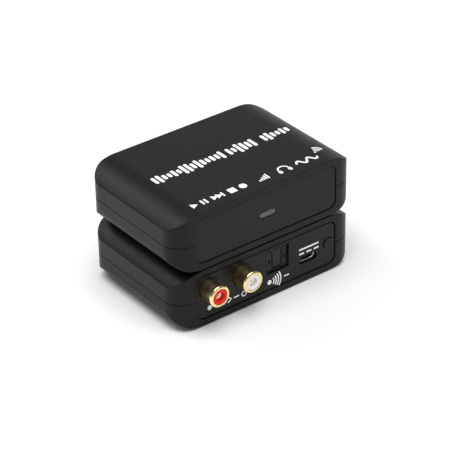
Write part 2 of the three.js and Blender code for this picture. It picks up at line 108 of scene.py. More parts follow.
# ---------------------------------------------------------------- smoothness
CORNER_STEPS = 14
CROWN_STEPS = 5
EDGE_STEPS = 5
BEVEL_STEPS = 3
FILLET_STEPS = 4
ARC_STEPS = 10
MARK_STEPS = 16
TURNED_STEPS = 72
SHARP_ANGLE = math.radians(32)
SAME_POINT = 1e-7          # points closer than this are one
NEARLY = 1e-6              # keeps the two quarter rounds of a round end apart
QUARTER = math.pi / 2


# ---------------------------------------------------------------- places, from the frame
def placement(unit):
    """From a box's own frame to the row frame."""
    low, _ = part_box(f"{unit}_bottom_shell")
    turn = Matrix.Rotation(math.pi, 4, "Z") if unit == "transmitter" else Matrix.Identity(4)
    return Matrix.Translation((0, 0, low.z)) @ turn


def local_box(node, unit="receiver"):
    """A CAD node's corners in its box's own frame."""
    back = placement(unit).inverted()
    a, b = [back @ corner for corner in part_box(f"{unit}_{node}")]
    return Vector(map(min, a, b)), Vector(map(max, a, b))


def middle(node):
    low, high = local_box(node)
    return (low + high) / 2


SHELL_LOW, SHELL_HIGH = local_box("bottom_shell")
TOP_LOW, TOP_HIGH = local_box("top_shell")
WIDTH = SHELL_HIGH.x - SHELL_LOW.x
DEPTH = SHELL_HIGH.y - SHELL_LOW.y
HEIGHT = TOP_HIGH.z
REAR = DEPTH / 2
SPLIT = TOP_LOW.z - SEAM_GAP
SHOULDER = WIDTH / 2 - CROWN_WIDE
PANEL_LOW, PANEL_HIGH = local_box("front_panel")
PANEL_HALF_WIDE = (PANEL_HIGH.x - PANEL_LOW.x) / 2 - LIP
PANEL_HALF_HIGH = (PANEL_HIGH.z - PANEL_LOW.z) / 2 - LIP
PANEL_MIDDLE = (PANEL_HIGH.z + PANEL_LOW.z) / 2
PANEL_FACE = REAR + PANEL_LOW.y        # depths below the wall's own face
PANEL_BACK = REAR + PANEL_HIGH.y
BEHIND_PANEL = REAR - PANEL_BACK - GAP  # y where the parts behind the rear panel end, just short of it
SHUTTER_LOW, SHUTTER_HIGH = local_box("optical_shutter")
HOUSING_LOW, HOUSING_HIGH = local_box("optical_housing")
PORT_HEIGHT = HOUSING_HIGH.z - PORT_BELOW_TOP
PORT_MIDDLE = Vector(((HOUSING_LOW.x + HOUSING_HIGH.x) / 2, 0, PORT_HEIGHT))


# ---------------------------------------------------------------- outlines
def arc(centre, radius, start, end, steps=FILLET_STEPS):
    """Points of an arc, angles in degrees."""
    angles = [math.radians(start + (end - start) * k / steps) for k in range(steps + 1)]
    return [(centre[0] + radius * math.cos(a), centre[1] + radius * math.sin(a)) for a in angles]


def rounded_outline(half_wide, half_high, corner, steps=ARC_STEPS):
    """A rounded rectangle round 0, 0, anticlockwise."""
    points = []
    for quarter, (sx, sz) in enumerate([(1, -1), (1, 1), (-1, 1), (-1, -1)]):
        for k in range(steps + 1):
            angle = (quarter - 1 + k / steps) * QUARTER
            points.append((
                sx * (half_wide - corner) + corner * math.cos(angle),
                sz * (half_high - corner) + corner * math.sin(angle),
            ))
    return points


def circle_outline(radius, steps=TURNED_STEPS):
    angles = [2 * math.pi * k / steps for k in range(steps)]
    return [(radius * math.cos(a), radius * math.sin(a)) for a in angles]


def growing_box(half_wide, half_high, corner):
    """A rounded rectangle as a function of how far it is grown."""
    return lambda grow: rounded_outline(half_wide + grow, half_high + grow, corner + grow)


def growing_circle(radius):
    """A circle as a function of how far it is grown."""
    return lambda grow: circle_outline(radius + grow)


def stroke_outline(path, wide, cap_steps=6):
    """Outline of an open line of the given width, with round ends."""
    points = [Vector(p) for p in path]
    left, right = [], []
    for i, p in enumerate(points):
        before = points[max(i - 1, 0)]
        after = points[min(i + 1, len(points) - 1)]
        along = (after - before).normalized()
        side = Vector((-along.y, along.x)) * wide / 2
        left.append(p + side)
        right.append(p - side)

    def cap(centre, start, steps):
        first = math.atan2(start.y - centre.y, start.x - centre.x)
        angles = [first - math.pi * k / steps for k in range(1, steps)]
        return [centre + Vector((math.cos(a), math.sin(a))) * wide / 2 for a in angles]

    outline = left + cap(points[-1], left[-1], cap_steps)
    outline += right[::-1] + cap(points[0], right[0], cap_steps)
    return [tuple(p) for p in outline]


# ---------------------------------------------------------------- mesh helpers
def link(name, data):
    """Puts a mesh, a light or a camera into the scene."""
    obj = bpy.data.objects.new(name, data)
    bpy.context.scene.collection.objects.link(obj)
    return obj


def new_object(name, points, faces):
    """A skin of the given faces, with doubled points joined and all faces turned outwards."""
    mesh = bpy.data.meshes.new(name)
    mesh.from_pydata([tuple(p) for p in points], [], faces)
    shape = bmesh.new()
    shape.from_mesh(mesh)
    bmesh.ops.remove_doubles(shape, verts=shape.verts, dist=SAME_POINT)
    bmesh.ops.recalc_face_normals(shape, faces=shape.faces)
    shape.to_mesh(mesh)
    shape.free()
    return link(name, mesh)


def cap_faces(start, count, strips):
    """One face over a ring, or strips from its front half to its back half."""
    if not strips:
        return [tuple(range(start, start + count))]
    last = start + count - 1
    return [(start + i, start + i + 1, last - i - 1, last - i) for i in range(count // 2 - 1)]


def loft(name, rings, strips=False):
    """A skin through rings of equal length, capped at both ends."""
    count = len(rings[0])
    faces = []
    for k in range(len(rings) - 1):
        a = k * count
        b = a + count
        faces += [(a + i, a + (i + 1) % count, b + (i + 1) % count, b + i) for i in range(count)]
    faces += cap_faces(0, count, strips)
    faces += cap_faces((len(rings) - 1) * count, count, strips)
    return new_object(name, [p for ring in rings for p in ring], faces)


def combine(obj, *others, how="DIFFERENCE"):
    """Cuts others out of obj, or joins them to it, and removes them."""
    for other in others:
        step = obj.modifiers.new(how, "BOOLEAN")
        step.operation = how
        step.solver = "EXACT"
        step.object = other
        bpy.context.view_layer.update()
        done = bpy.data.meshes.new_from_object(obj.evaluated_get(bpy.context.evaluated_depsgraph_get()))
        obj.modifiers.clear()
        obj.data = done
        bpy.data.objects.remove(other)
    return obj


def rounded_box(name, low, high, bevel, steps=BEVEL_STEPS):
    """A box with all its edges rounded."""
    size = [b - a for a, b in zip(low, high)]
    centre = [(a + b) / 2 for a, b in zip(low, high)]
    fit = Matrix.Translation(centre) @ Matrix.Diagonal((*size, 1))
    shape = bmesh.new()
    bmesh.ops.create_cube(shape, size=1)
    bmesh.ops.transform(shape, verts=shape.verts, matrix=fit)
    edges = shape.edges[:]
    bmesh.ops.bevel(shape, geom=edges, offset=bevel, segments=steps, profile=0.5, affect="EDGES")
    mesh = bpy.data.meshes.new(name)
    shape.to_mesh(mesh)
    shape.free()
    return link(name, mesh)


def turned(name, profile, x, z, closed=True, steps=TURNED_STEPS):
    """Turns (radius, y) points about the line along Y through x, z; an open profile ends on that line."""
    rings = []
    for k in range(steps):
        angle = 2 * math.pi * k / steps
        rings.append([(x + r * math.cos(angle), y, z + r * math.sin(angle)) for r, y in profile])
    count = len(profile)
    faces = []
    for k in range(steps):
        a = k * count
        b = (k + 1) % steps * count
        for i in range(count if closed else count - 1):
            j = (i + 1) % count
            faces.append((a + i, a + j, b + j, b + i))
    return new_object(name, [p for ring in rings for p in ring], faces)


def turned_upright(name, profile, x, y, steps=TURNED_STEPS):
    """Turns (radius, z) points about the upright line through x, y, on which they start and end."""
    obj = turned(name, profile, 0, 0, closed=False, steps=steps)
    obj.data.transform(Matrix.Translation((x, y, 0)) @ Matrix.Rotation(QUARTER, 4, "X"))
    return obj


# ---------------------------------------------------------------- cutters
def wall_ring(outline, x, z, side, depth):
    """An outline on the front or rear wall, depth below its face."""
    return [(x + u, side * (REAR - depth), z + v) for u, v in outline]


def opening(outline, x, z, side, face, depth, bevel):
    """A cutter with a bevelled mouth, from face to depth below the wall. outline(grow) is its edge."""
    over = 0.4 * MM
    rings = [
        wall_ring(outline(bevel + over), x, z, side, face - over),
        wall_ring(outline(0), x, z, side, face + bevel),
        wall_ring(outline(0), x, z, side, depth),
    ]
    return loft("opening", rings)


def panel_hole(outline, centre, side, bevel):
    """A cutter through a panel."""
    return opening(outline, centre.x, centre.z, side, PANEL_FACE, PANEL_BACK + OVERSHOOT, bevel)


def upright_opening(centre, radius, top, bevel):
    """A cutter for a round hole in the underside, with a bevelled mouth, up to the height top."""
    under = -OVERSHOOT
    profile = [(0, under), (radius + bevel - under, under), (radius, bevel), (radius, top), (0, top)]
    return turned_upright("cutter", profile, centre.x, centre.y)


# ---------------------------------------------------------------- pieces and their bodies
MATERIALS = {}


def add_piece(obj, unit, node, slot=None, stands_in=True):
    """Finishes a piece made in its box's own frame and lets it ride with its CAD node's body."""
    full = f"{unit}_{node}"
    slot = slot or SLOT_OF[full]
    obj.name = obj.data.name = f"{full}_{'fine' if stands_in else obj.name}"
    obj.data.transform(placement(unit))
    obj.data.materials.clear()
    obj.data.materials.append(MATERIALS[slot])
    obj.data.shade_smooth()
    obj.data.set_sharp_from_angle(angle=SHARP_ANGLE)
    normals = obj.modifiers.new("face_normals", "WEIGHTED_NORMAL")
    normals.keep_sharp = True
    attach(obj, BODY_OF[full])
    if stands_in:
        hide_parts(full)
    return obj


# ---------------------------------------------------------------- the case
def plan_front(inset):
    """Front half of the case's plan outline, shrunk by inset, from the left side to the right."""
    x_turn = WIDTH / 2 - PLAN_CORNER
    y_turn = DEPTH / 2 - PLAN_CORNER
    radius = PLAN_CORNER - inset
    step = (x_turn - SHOULDER) / CROWN_STEPS
    right = [(SHOULDER + k * step, -(y_turn + radius)) for k in range(CROWN_STEPS)]
    for k in range(CORNER_STEPS + 1):
        angle = QUARTER * k / CORNER_STEPS
        right.append((x_turn + radius * math.sin(angle), -(y_turn + radius * math.cos(angle))))
    return [(-x, y) for x, y in reversed(right)] + right


def crown(x, inset=0.0):
    """Height of the top surface at x: flat, then an arc down to the crease on each side."""
    past = max(0.0, abs(x) - SHOULDER)
    return HEIGHT - CROWN_RADIUS + math.sqrt((CROWN_RADIUS - inset) ** 2 - past ** 2)


def underside(x, inset=0.0):
    """Height of the bottom surface at x: flat, then a quarter ellipse up to the side wall."""
    past = max(0.0, abs(x) - (WIDTH / 2 - UNDER_WIDE))
    share = min(1.0, past / (UNDER_WIDE - inset))
    return UNDER_HIGH - (UNDER_HIGH - inset) * math.sqrt(1 - share ** 2)


def case_ring(inset, height):
    """The case's plan outline, shrunk by inset, with height(x) as its z."""
    front = plan_front(inset)
    return [(x, y, height(x)) for x, y in front] + [(x, -y, height(x)) for x, y in reversed(front)]


def edge_steps(radius, steps=BEVEL_STEPS):
    """(inset, drop) of a rounded edge, from the flat face to the wall."""
    angles = [QUARTER * k / steps for k in range(steps + 1)]
    return [(radius * (1 - math.sin(a)), radius * (1 - math.cos(a))) for a in angles]


def shell(name, surface, rim, towards_rim):
    """Half of the case: face, rounded edge, wall, bevelled rim and inside. towards_rim is -1 or 1 in z."""
    rings = []
    for inset, drop in edge_steps(EDGE, EDGE_STEPS):
        rings.append(case_ring(inset, lambda x: surface(x) + towards_rim * drop))
    for inset, drop in reversed(edge_steps(SEAM_BEVEL)):
        rings.append(case_ring(inset, lambda x: rim - towards_rim * drop))
    rings.append(case_ring(WALL, lambda x: rim))
    rings.append(case_ring(WALL, lambda x: surface(x, WALL)))
    return loft(name, rings, strips=True)


def window_cutter(side, headroom=0.0):
    """A cutter for a panel's window, with headroom as an extra gap above the panel."""
    half_wide = PANEL_HALF_WIDE + PANEL_GAP
    half_high = PANEL_HALF_HIGH + PANEL_GAP + headroom / 2
    outline = growing_box(half_wide, half_high, PANEL_CORNER + PANEL_GAP)
    return opening(outline, 0, PANEL_MIDDLE + headroom / 2, side, 0, WALL + OVERSHOOT, PANEL_BEVEL)


def window_cutters():
    """Cutters for both windows; the rear panel leaves a shadow gap along its top."""
    return [window_cutter(FRONT_SIDE), window_cutter(REAR_SIDE, REAR_HEADROOM)]


def top_shell(unit):
    obj = shell("top", crown, SPLIT + SEAM_OPEN, -1)
    add_piece(combine(obj, *window_cutters()), unit, "top_shell")


def bottom_shell(unit):
    """The lower half, with a pocket for each foot and a well for each screw."""
    foot_bevel = 0.15 * MM
    screw_bevel = 0.2 * MM
    well_top = 3 * MM
    obj = shell("bottom", underside, SPLIT - SEAM_OPEN, 1)
    cutters = window_cutters()
    for node in FEET:
        low, high = local_box(node)
        radius = (high.x - low.x) / 2 + GAP
        cutters.append(upright_opening((low + high) / 2, radius, high.z, foot_bevel))
    for node in SCREWS:
        low, high = local_box(node)
        radius = (high.x - low.x) / 2 + 2 * GAP
        cutters.append(upright_opening((low + high) / 2, radius, well_top, screw_bevel))
    add_piece(combine(obj, *cutters), unit, "bottom_shell")


def panel(name, side):
    """A plate with a bevelled edge and the wider flange behind it that the shells trap."""
    outline = growing_box(PANEL_HALF_WIDE, PANEL_HALF_HIGH, PANEL_CORNER)

    def ring(grow, depth):
        return wall_ring(outline(grow), 0, PANEL_MIDDLE, side, depth)

    rings = [ring(LIP, PANEL_BACK), ring(LIP, PLATE), ring(-PANEL_GAP, PLATE)]
    for inset, drop in reversed(edge_steps(PANEL_BEVEL)):
        rings.append(ring(-PANEL_GAP - inset, PANEL_FACE + drop))
    return loft(name, rings)


def front_panel(unit):
    """The plate with a slot for the status light's window."""
    low, high = local_box("led_window")
    half_wide = (high.x - low.x) / 2 - LENS_FLANGE + GAP
    half_high = (high.z - low.z) / 2 - LENS_FLANGE + GAP
    outline = growing_box(half_wide, half_high, half_high - NEARLY)
    slot = panel_hole(outline, (low + high) / 2, FRONT_SIDE, LENS_BEVEL)
    add_piece(combine(panel("front", FRONT_SIDE), slot), unit, "front_panel")


def rear_panel(unit):
    """The plate with a hole for each socket and for the button."""
    sleeve_hole = growing_circle(SLEEVE_ROOT + GAP)
    holes = [
        (sleeve_hole, middle("rca_right_sleeve"), HOLE_BEVEL),
        (sleeve_hole, middle("rca_left_sleeve"), HOLE_BEVEL),
        (growing_box(PORT_HALF_WIDE, PORT_HALF_HIGH, PORT_CORNER), PORT_MIDDLE, HOLE_BEVEL),
        (growing_box(USB_HALF_WIDE, USB_HALF_HIGH, USB_CORNER), middle("usb_shell"), USB_BEVEL),
        (growing_circle(BUTTON_RADIUS + BUTTON_GAP), middle("button_cap"), BUTTON_BEVEL),
    ]
    cutters = [panel_hole(outline, centre, REAR_SIDE, bevel) for outline, centre, bevel in holes]
    add_piece(combine(panel("rear", REAR_SIDE), *cutters), unit, "rear_panel")


def led_window(unit):
    """The status light's window: a round-ended lens with a wider flange behind the panel."""
    low, high = local_box("led_window")
    centre = (low + high) / 2
    half_wide = (high.x - low.x) / 2
    half_high = (high.z - low.z) / 2
    face = REAR + low.y
    back = REAR + high.y
    step = back - LENS_FLANGE_DEEP
    soft = 0.2 * MM
    outline = growing_box(half_wide, half_high, half_high - NEARLY)

    def ring(less, depth):
        return wall_ring(outline(-less), centre.x, centre.z, FRONT_SIDE, depth)

    rings = [ring(0, back), ring(0, step), ring(LENS_FLANGE, step)]
    rings += [ring(LENS_FLANGE + inset, face + drop) for inset, drop in reversed(edge_steps(soft))]
    add_piece(loft("lens", rings), unit, "led_window")


def foot(unit, node):
    """A rubber disc with a soft edge and a shallow dish in its sole."""
    low, high = local_box(node)
    centre = (low + high) / 2
    radius = (high.x - low.x) / 2
    soft = 0.3 * MM
    dish_radius = radius - 0.9 * MM
    dish_slope = 0.1 * MM
    dish = low.z + 0.08 * MM
    profile = [(0, high.z), (radius, high.z)]
    profile += arc((radius - soft, low.z + soft), soft, 0, -90)
    profile += [(dish_radius, low.z), (dish_radius - dish_slope, dish), (0, dish)]
    add_piece(turned_upright("foot", profile, centre.x, centre.y), unit, node)


def case_screw(unit, node):
    """A pan-head screw with a cross recess and a thread."""
    low, high = local_box(node)
    centre = (low + high) / 2
    radius = (high.x - low.x) / 2
    soft = 0.35 * MM
    neck = low.z + 1.8 * MM
    shaft = 1.2 * MM
    tip = 0.5 * MM
    turns = 18
    plain = 1.0 * MM
    pitch = (high.z - neck - 2 * plain) / turns
    thread_deep = 0.22 * MM
    thread_rise = 0.3 * MM
    profile = [(0, low.z)] + arc((radius - soft, low.z + soft), soft, -90, 0)
    profile += [(radius, neck), (shaft, neck)]
    for k in range(turns):
        z = neck + plain + k * pitch
        profile += [(shaft - thread_deep, z), (shaft, z + thread_rise)]
    profile += [(tip, high.z), (0, high.z)]
    obj = turned_upright("screw", profile, centre.x, centre.y, steps=40)
    arm = 1.3 * MM
    half = 0.32 * MM
    deep = 0.9 * MM
    for wide, long in ((arm, half), (half, arm)):
        cross_low = (centre.x - wide, centre.y - long, low.z - OVERSHOOT)
        cross_high = (centre.x + wide, centre.y + long, low.z + deep)
        combine(obj, rounded_box("cross", cross_low, cross_high, bevel=0.08 * MM, steps=2))
    add_piece(obj, unit, node)


# ---------------------------------------------------------------- phono sockets
def sleeve(unit, node):
    """Gilded barrel: root, slightly slimmer neck, and a thin rim with a domed front round the mouth."""
    low, high = local_box(node)
    centre = (low + high) / 2
    rim = (high.x - low.x) / 2
    tip = high.y
    root_end = REAR + ROOT_REACH
    dome_back = tip - DOME
    rim_back = dome_back - RIM_WIDE
    soft = 0.12 * MM
    profile = [(SLEEVE_BORE, low.y), (SLEEVE_ROOT, low.y)]
    profile += arc((SLEEVE_ROOT - soft, root_end - soft), soft, 0, 90)
    profile += arc((SLEEVE_NECK + soft, root_end + soft), soft, 270, 180)
    profile += arc((SLEEVE_NECK + soft, rim_back - soft), soft, 180, 90)
    profile += arc((rim - soft, rim_back + soft), soft, -90, 0)
    for k in range(1, ARC_STEPS + 1):
        angle = QUARTER * k / ARC_STEPS
        profile.append((
            SLEEVE_MOUTH + (rim - SLEEVE_MOUTH) * math.cos(angle),
            dome_back + DOME * math.sin(angle),
        ))
    profile += [(SLEEVE_BORE + soft, tip), (SLEEVE_BORE, tip - soft)]
    add_piece(turned("sleeve", profile, centre.x, centre.z), unit, node)


def insulator(unit, node):
    """Coloured plastic ring inside the sleeve."""
    low, high = local_box(node)
    centre = (low + high) / 2
    outer = (high.x - low.x) / 2
    inner = 1.7 * MM
    soft = 0.14 * MM
    profile = [(inner, low.y), (outer, low.y)]
    profile += arc((outer - soft, high.y - soft), soft, 0, 90)
    profile += arc((inner + soft, high.y - soft), soft, 90, 180)
    add_piece(turned("insulator", profile, centre.x, centre.z), unit, node)


def contact(unit, node):
    """Spring tube cut into four leaves that close in at the mouth, with a blind end."""
    low, high = local_box(node)
    centre = (low + high) / 2
    outer = (high.x - low.x) / 2
    tip = high.y
    mouth = 0.2 * MM
    sheet = 0.35 * MM
    curl = 0.45 * MM
    set_back = 0.1 * MM
    floor = low.y + 2 * MM
    inside_curl = tip - 1.2 * MM
    profile = [(0, low.y), (outer, low.y)]
    profile += arc((outer - curl, tip - curl), curl, 0, 80, steps=6)
    profile += arc((mouth + sheet / 2, tip - set_back - sheet / 2), sheet / 2, 90, 220)
    profile += [(outer - sheet, inside_curl), (outer - sheet, floor), (0, floor)]
    obj = turned("contact", profile, centre.x, centre.z, closed=False)
    half = 0.02 * MM
    reach = 2 * MM
    leaf = 5 * MM
    for wide, tall in ((half, reach), (reach, half)):
        slot_low = (centre.x - wide, tip - leaf, centre.z - tall)
        slot_high = (centre.x + wide, tip + OVERSHOOT, centre.z + tall)
        combine(obj, rounded_box("slot", slot_low, slot_high, bevel=0.02 * MM, steps=1))
    add_piece(obj, unit, node)


# ---------------------------------------------------------------- optical socket
def optical_housing(unit):
    """Moulded socket: a block on the board, a nose with the plug's square cavity, and the light's hole."""
    x = PORT_MIDDLE.x
    block_high = (HOUSING_HIGH.x, BEHIND_PANEL, HOUSING_HIGH.z)
    body = rounded_box("housing", HOUSING_LOW, block_high, bevel=0.3 * MM)
    half_wide = PORT_HALF_WIDE - GAP
    half_high = PORT_HALF_HIGH - GAP
    nose_start = HOUSING_LOW.y + 1.0 * MM
    nose_low = (x - half_wide, nose_start, PORT_HEIGHT - half_high)
    nose_high = (x + half_wide, HOUSING_HIGH.y, PORT_HEIGHT + half_high)
    combine(body, rounded_box("nose", nose_low, nose_high, bevel=0.15 * MM), how="UNION")
    half_wide = 4.4 * MM
    half_high = 4.25 * MM
    floor = HOUSING_LOW.y + 2 * MM
    cavity_low = (x - half_wide, floor, PORT_HEIGHT - half_high)
    cavity_high = (x + half_wide, REAR, PORT_HEIGHT + half_high)
    cavity = rounded_box("cavity", cavity_low, cavity_high, bevel=0.12 * MM)
    radius = 1.65 * MM
    behind = HOUSING_LOW.y - OVERSHOOT
    inside = floor + OVERSHOOT
    profile = [(0, behind), (radius, behind), (radius, inside), (0, inside)]
    hole = turned("hole", profile, x, PORT_HEIGHT, closed=False, steps=40)
    add_piece(combine(body, cavity, hole), unit, "optical_housing")


def shutter_groove(x):
    """Cutter for the U-shaped groove in the flap's face, open at the top."""
    half = 2.1 * MM
    low = SHUTTER_LOW.z + 0.65 * MM
    high = SHUTTER_HIGH.z - 0.9 * MM
    wide = 0.5 * MM
    deep = 0.45 * MM
    corner = 0.7 * MM
    path = [(-half, high)]
    path += arc((-half + corner, low + corner), corner, 180, 270, ARC_STEPS)
    path += arc((half - corner, low + corner), corner, 270, 360, ARC_STEPS)
    path.append((half, high))
    outline = stroke_outline(path, wide, 1)
    face = SHUTTER_HIGH.y
    return loft("groove", [[(x + u, y, v) for u, v in outline] for y in (face - deep, face + deep)])


def shutter_notch(x, side):
    """Cutter for a grip notch beside the groove, on the side -1 or 1 in x."""
    middle_x = x + side * 3.3 * MM
    half = 0.4 * MM
    deep = 0.6 * MM
    low = (middle_x - half, SHUTTER_HIGH.y - deep, PORT_HEIGHT - 1.0 * MM)
    high = (middle_x + half, SHUTTER_HIGH.y + OVERSHOOT, PORT_HEIGHT + 0.5 * MM)
    return rounded_box("notch", low, high, bevel=0.12 * MM)


def optical_shutter(unit):
    """Sprung flap: a plate with a moulded U, two grip notches and its hinge pins."""
    x = (SHUTTER_LOW.x + SHUTTER_HIGH.x) / 2
    pin_reach = 0.25 * MM
    pin_half = 0.25 * MM
    half = (SHUTTER_HIGH.x - SHUTTER_LOW.x) / 2 - pin_reach
    axis_y = (SHUTTER_LOW.y + SHUTTER_HIGH.y) / 2
    axis_z = SHUTTER_HIGH.z - (SHUTTER_HIGH.y - SHUTTER_LOW.y) / 2
    plate_low = (x - half, SHUTTER_LOW.y, SHUTTER_LOW.z)
    plate_high = (x + half, SHUTTER_HIGH.y, SHUTTER_HIGH.z)
    flap = rounded_box("flap", plate_low, plate_high, bevel=0.16 * MM, steps=4)
    pin_low = (SHUTTER_LOW.x, axis_y - pin_half, axis_z - pin_half)
    pin_high = (SHUTTER_HIGH.x, axis_y + pin_half, axis_z + pin_half)
    combine(flap, rounded_box("pin", pin_low, pin_high, bevel=0.1 * MM), how="UNION")
    combine(flap, shutter_groove(x), shutter_notch(x, -1), shutter_notch(x, 1))
    add_piece(flap, unit, "optical_shutter")


# ---------------------------------------------------------------- power socket and button
def usb_outline(half_wide, half_high, slant, corner=0.25 * MM, steps=4):
    """The socket's section: square shoulders above, slanted sides towards a narrower floor."""
    knee = -half_high + USB_KNEE * half_high
    sharp = [
        (half_wide - slant, -half_high),
        (half_wide, knee),
        (half_wide, half_high),
        (-half_wide, half_high),
        (-half_wide, knee),
        (-half_wide + slant, -half_high),
    ]
    points = []
    for i, here in enumerate(sharp):
        p = Vector(here)
        start = p + (Vector(sharp[i - 1]) - p).normalized() * corner
        end = p + (Vector(sharp[(i + 1) % len(sharp)]) - p).normalized() * corner
        for k in range(steps + 1):
            t = k / steps
            points.append(tuple(start * (1 - t) ** 2 + p * 2 * t * (1 - t) + end * t ** 2))
    return points


def usb_shell(unit):
    """Folded tin shell with a flared, rounded mouth."""
    low, high = local_box("usb_shell")
    centre = (low + high) / 2
    half_wide = (high.x - low.x) / 2
    half_high = (high.z - low.z) / 2
    length = high.y - low.y
    sheet = 0.22 * MM
    flare = 0.3 * MM
    slant = 1.15 * MM
    outside = flare - sheet
    flare_start = flare + 0.1 * MM
    lip_drop = 0.06 * MM
    lip_outer = 0.02 * MM
    lip_inner = 0.08 * MM

    def ring(less, depth):
        outline = usb_outline(half_wide - less, half_high - less, slant)
        return [(centre.x + u, high.y - depth, centre.z + v) for u, v in outline]

    rings = [
        ring(outside, length),
        ring(outside, flare_start),
        ring(0, lip_drop),
        ring(lip_outer, 0),
        ring(lip_inner, 0),
        ring(flare, flare),
        ring(flare, length - sheet),
    ]
    add_piece(loft("shell", rings), unit, "usb_shell")


def usb_tongue(unit):
    """Moulded tongue on a heel, with five contact pads along its underside."""
    low, high = local_box("usb_tongue")
    x = (low.x + high.x) / 2
    heel_end = low.y + 1.0 * MM
    obj = rounded_box("heel", low, (high.x, heel_end, high.z), bevel=0.08 * MM)
    half = 1.9 * MM
    tongue_low = (x - half, low.y, high.z - 0.65 * MM)
    tongue_high = (x + half, high.y, high.z - 0.05 * MM)
    combine(obj, rounded_box("tongue", tongue_low, tongue_high, bevel=0.1 * MM), how="UNION")
    add_piece(obj, unit, "usb_tongue")
    pitch = 0.65 * MM
    pad_half = 0.13 * MM
    pad_end = high.y - 0.4 * MM
    for number in range(1, 6):
        pad_x = x + (number - 3) * pitch
        pad_low = (pad_x - pad_half, heel_end, high.z - 0.72 * MM)
        pad_high = (pad_x + pad_half, pad_end, high.z - 0.6 * MM)
        pad = rounded_box(f"pad_{number}", pad_low, pad_high, bevel=0.03 * MM, steps=1)
        add_piece(pad, unit, "usb_tongue", slot="contact_metal", stands_in=False)


def button_cap(unit):
    """Round button with a soft edge, a faint dish and a flange behind the panel."""
    low, high = local_box("button_cap")
    centre = (low + high) / 2
    flange = (high.x - low.x) / 2
    soft = 0.3 * MM
    dish_radius = BUTTON_RADIUS - 0.9 * MM
    dish = high.y - 0.06 * MM
    profile = [(0, low.y), (flange, low.y), (flange, BEHIND_PANEL), (BUTTON_RADIUS, BEHIND_PANEL)]
    profile += arc((BUTTON_RADIUS - soft, high.y - soft), soft, 0, 90, steps=6)
    profile += [(dish_radius, high.y), (0, dish)]
    add_piece(turned("cap", profile, centre.x, centre.z, closed=False), unit, "button_cap")


# ---------------------------------------------------------------- generic printed marks, in millimetres
def arc_mark(centre, radius, start, end, wide, steps=MARK_STEPS):
    """A line along an arc, angles in degrees."""
    return stroke_outline(arc(centre, radius, start, end, steps), wide)


def ring_mark(centre, radius, wide):
    """An open ring: a line that stops just short of its own start."""
    return arc_mark(centre, radius, 95, 445, wide, steps=40)


def pill(x0, x1, y, wide):
    return stroke_outline([(x0 + wide / 2, y), (x1 - wide / 2, y)], wide)


def bar(x, y0, y1, wide):
    return stroke_outline([(x, y0 + wide / 2), (x, y1 - wide / 2)], wide)


def dot(x, y, radius):
    return [(x + u, y + v) for u, v in circle_outline(radius, 28)]


def wedge(x, y, wide, half):
    """A triangle that points right."""
    return [(x, y - half), (x + wide, y), (x, y + half)]


def square(x, y, half):
    return [(x, y - half), (x + 2 * half, y - half), (x + 2 * half, y + half), (x, y + half)]


def chevron(x, y):
    """An angle that points right."""
    return stroke_outline([(x, y - 1), (x + 1.4, y), (x, y + 1)], 0.55)


def radio_sign(x, y, dot_radius, radii, start, end, wide):
    """A dot with arcs that spread from it, from the angle start to end."""
    return [dot(x, y, dot_radius)] + [arc_mark((x, y), radius, start, end, wide) for radius in radii]


def sound_bars(x0, x1, phase):
    """Upright bars of changing height between x0 and x1."""
    y = 1.2
    wide = 1.35
    pitch = 2.1
    low = 2.8
    high = 6.8
    span = x1 - x0 - wide
    count = round(span / pitch)
    bars = []
    for k in range(count + 1):
        x = x0 + wide / 2 + k * span / count
        swing = abs(math.sin(phase + 1.15 * k) * math.cos(phase + 0.37 * k))
        half = (low + (high - low) * swing) / 2
        bars.append(bar(x, y - half, y + half, wide))
    return bars


def media_symbols(x, y):
    """Play, pause, next, stop and record, one after the other from x."""
    half = 1.5
    pause = x + 4.6
    skip = x + 8.8
    stop = x + 16
    record = x + 22.2
    return [
        wedge(x, y, 1.8 * half, half),
        bar(pause, y - half, y + half, 0.85),
        bar(pause + 1.6, y - half, y + half, 0.85),
        wedge(skip, y, 1.6 * half, half),
        wedge(skip + 2, y, 1.6 * half, half),
        bar(skip + 4.6, y - half, y + half, 0.7),
        square(stop, y, half),
        dot(record, y, half),
    ]


def signal_steps(x, y):
    """Five upright bars, each taller than the last."""
    pitch = 1.0
    low = y - 1.6
    shortest = y - 0.7
    rise = 0.62
    wide = 0.62
    return [bar(x + pitch * k, low, shortest + rise * k, wide) for k in range(5)]


def headphones(x, y):
    """A headband with a cup at each end."""
    cups = [bar(x + side * 2.15, y - 2.0, y + 0.2, 1.4) for side in (-1, 1)]
    return [arc_mark((x, y - 0.1), 2.2, 5, 175, 0.65)] + cups


def sine_line(x, y):
    """A line of nearly two sine waves."""
    step = 0.25
    count = 36
    height = 1.25
    wave = 4.6
    path = [(x + step * k, y + height * math.sin(2 * math.pi * step * k / wave)) for k in range(count + 1)]
    return stroke_outline(path, 0.85)


def print_marks(name, outlines, to_surface):
    """Thin raised ink in one mesh. to_surface(u, v, lift) places a point."""
    points, faces = [], []
    for outline in outlines:
        start = len(points)
        count = len(outline)
        for lift in (0, PRINT_THICK):
            points += [to_surface(u * MM, v * MM, lift) for u, v in outline]
        faces.append(tuple(range(start, start + count)))
        faces.append(tuple(range(start + count, start + 2 * count)))
        for i in range(count):
            j = (i + 1) % count
            faces.append((start + i, start + j, start + count + j, start + count + i))
    return new_object(name, points, faces)


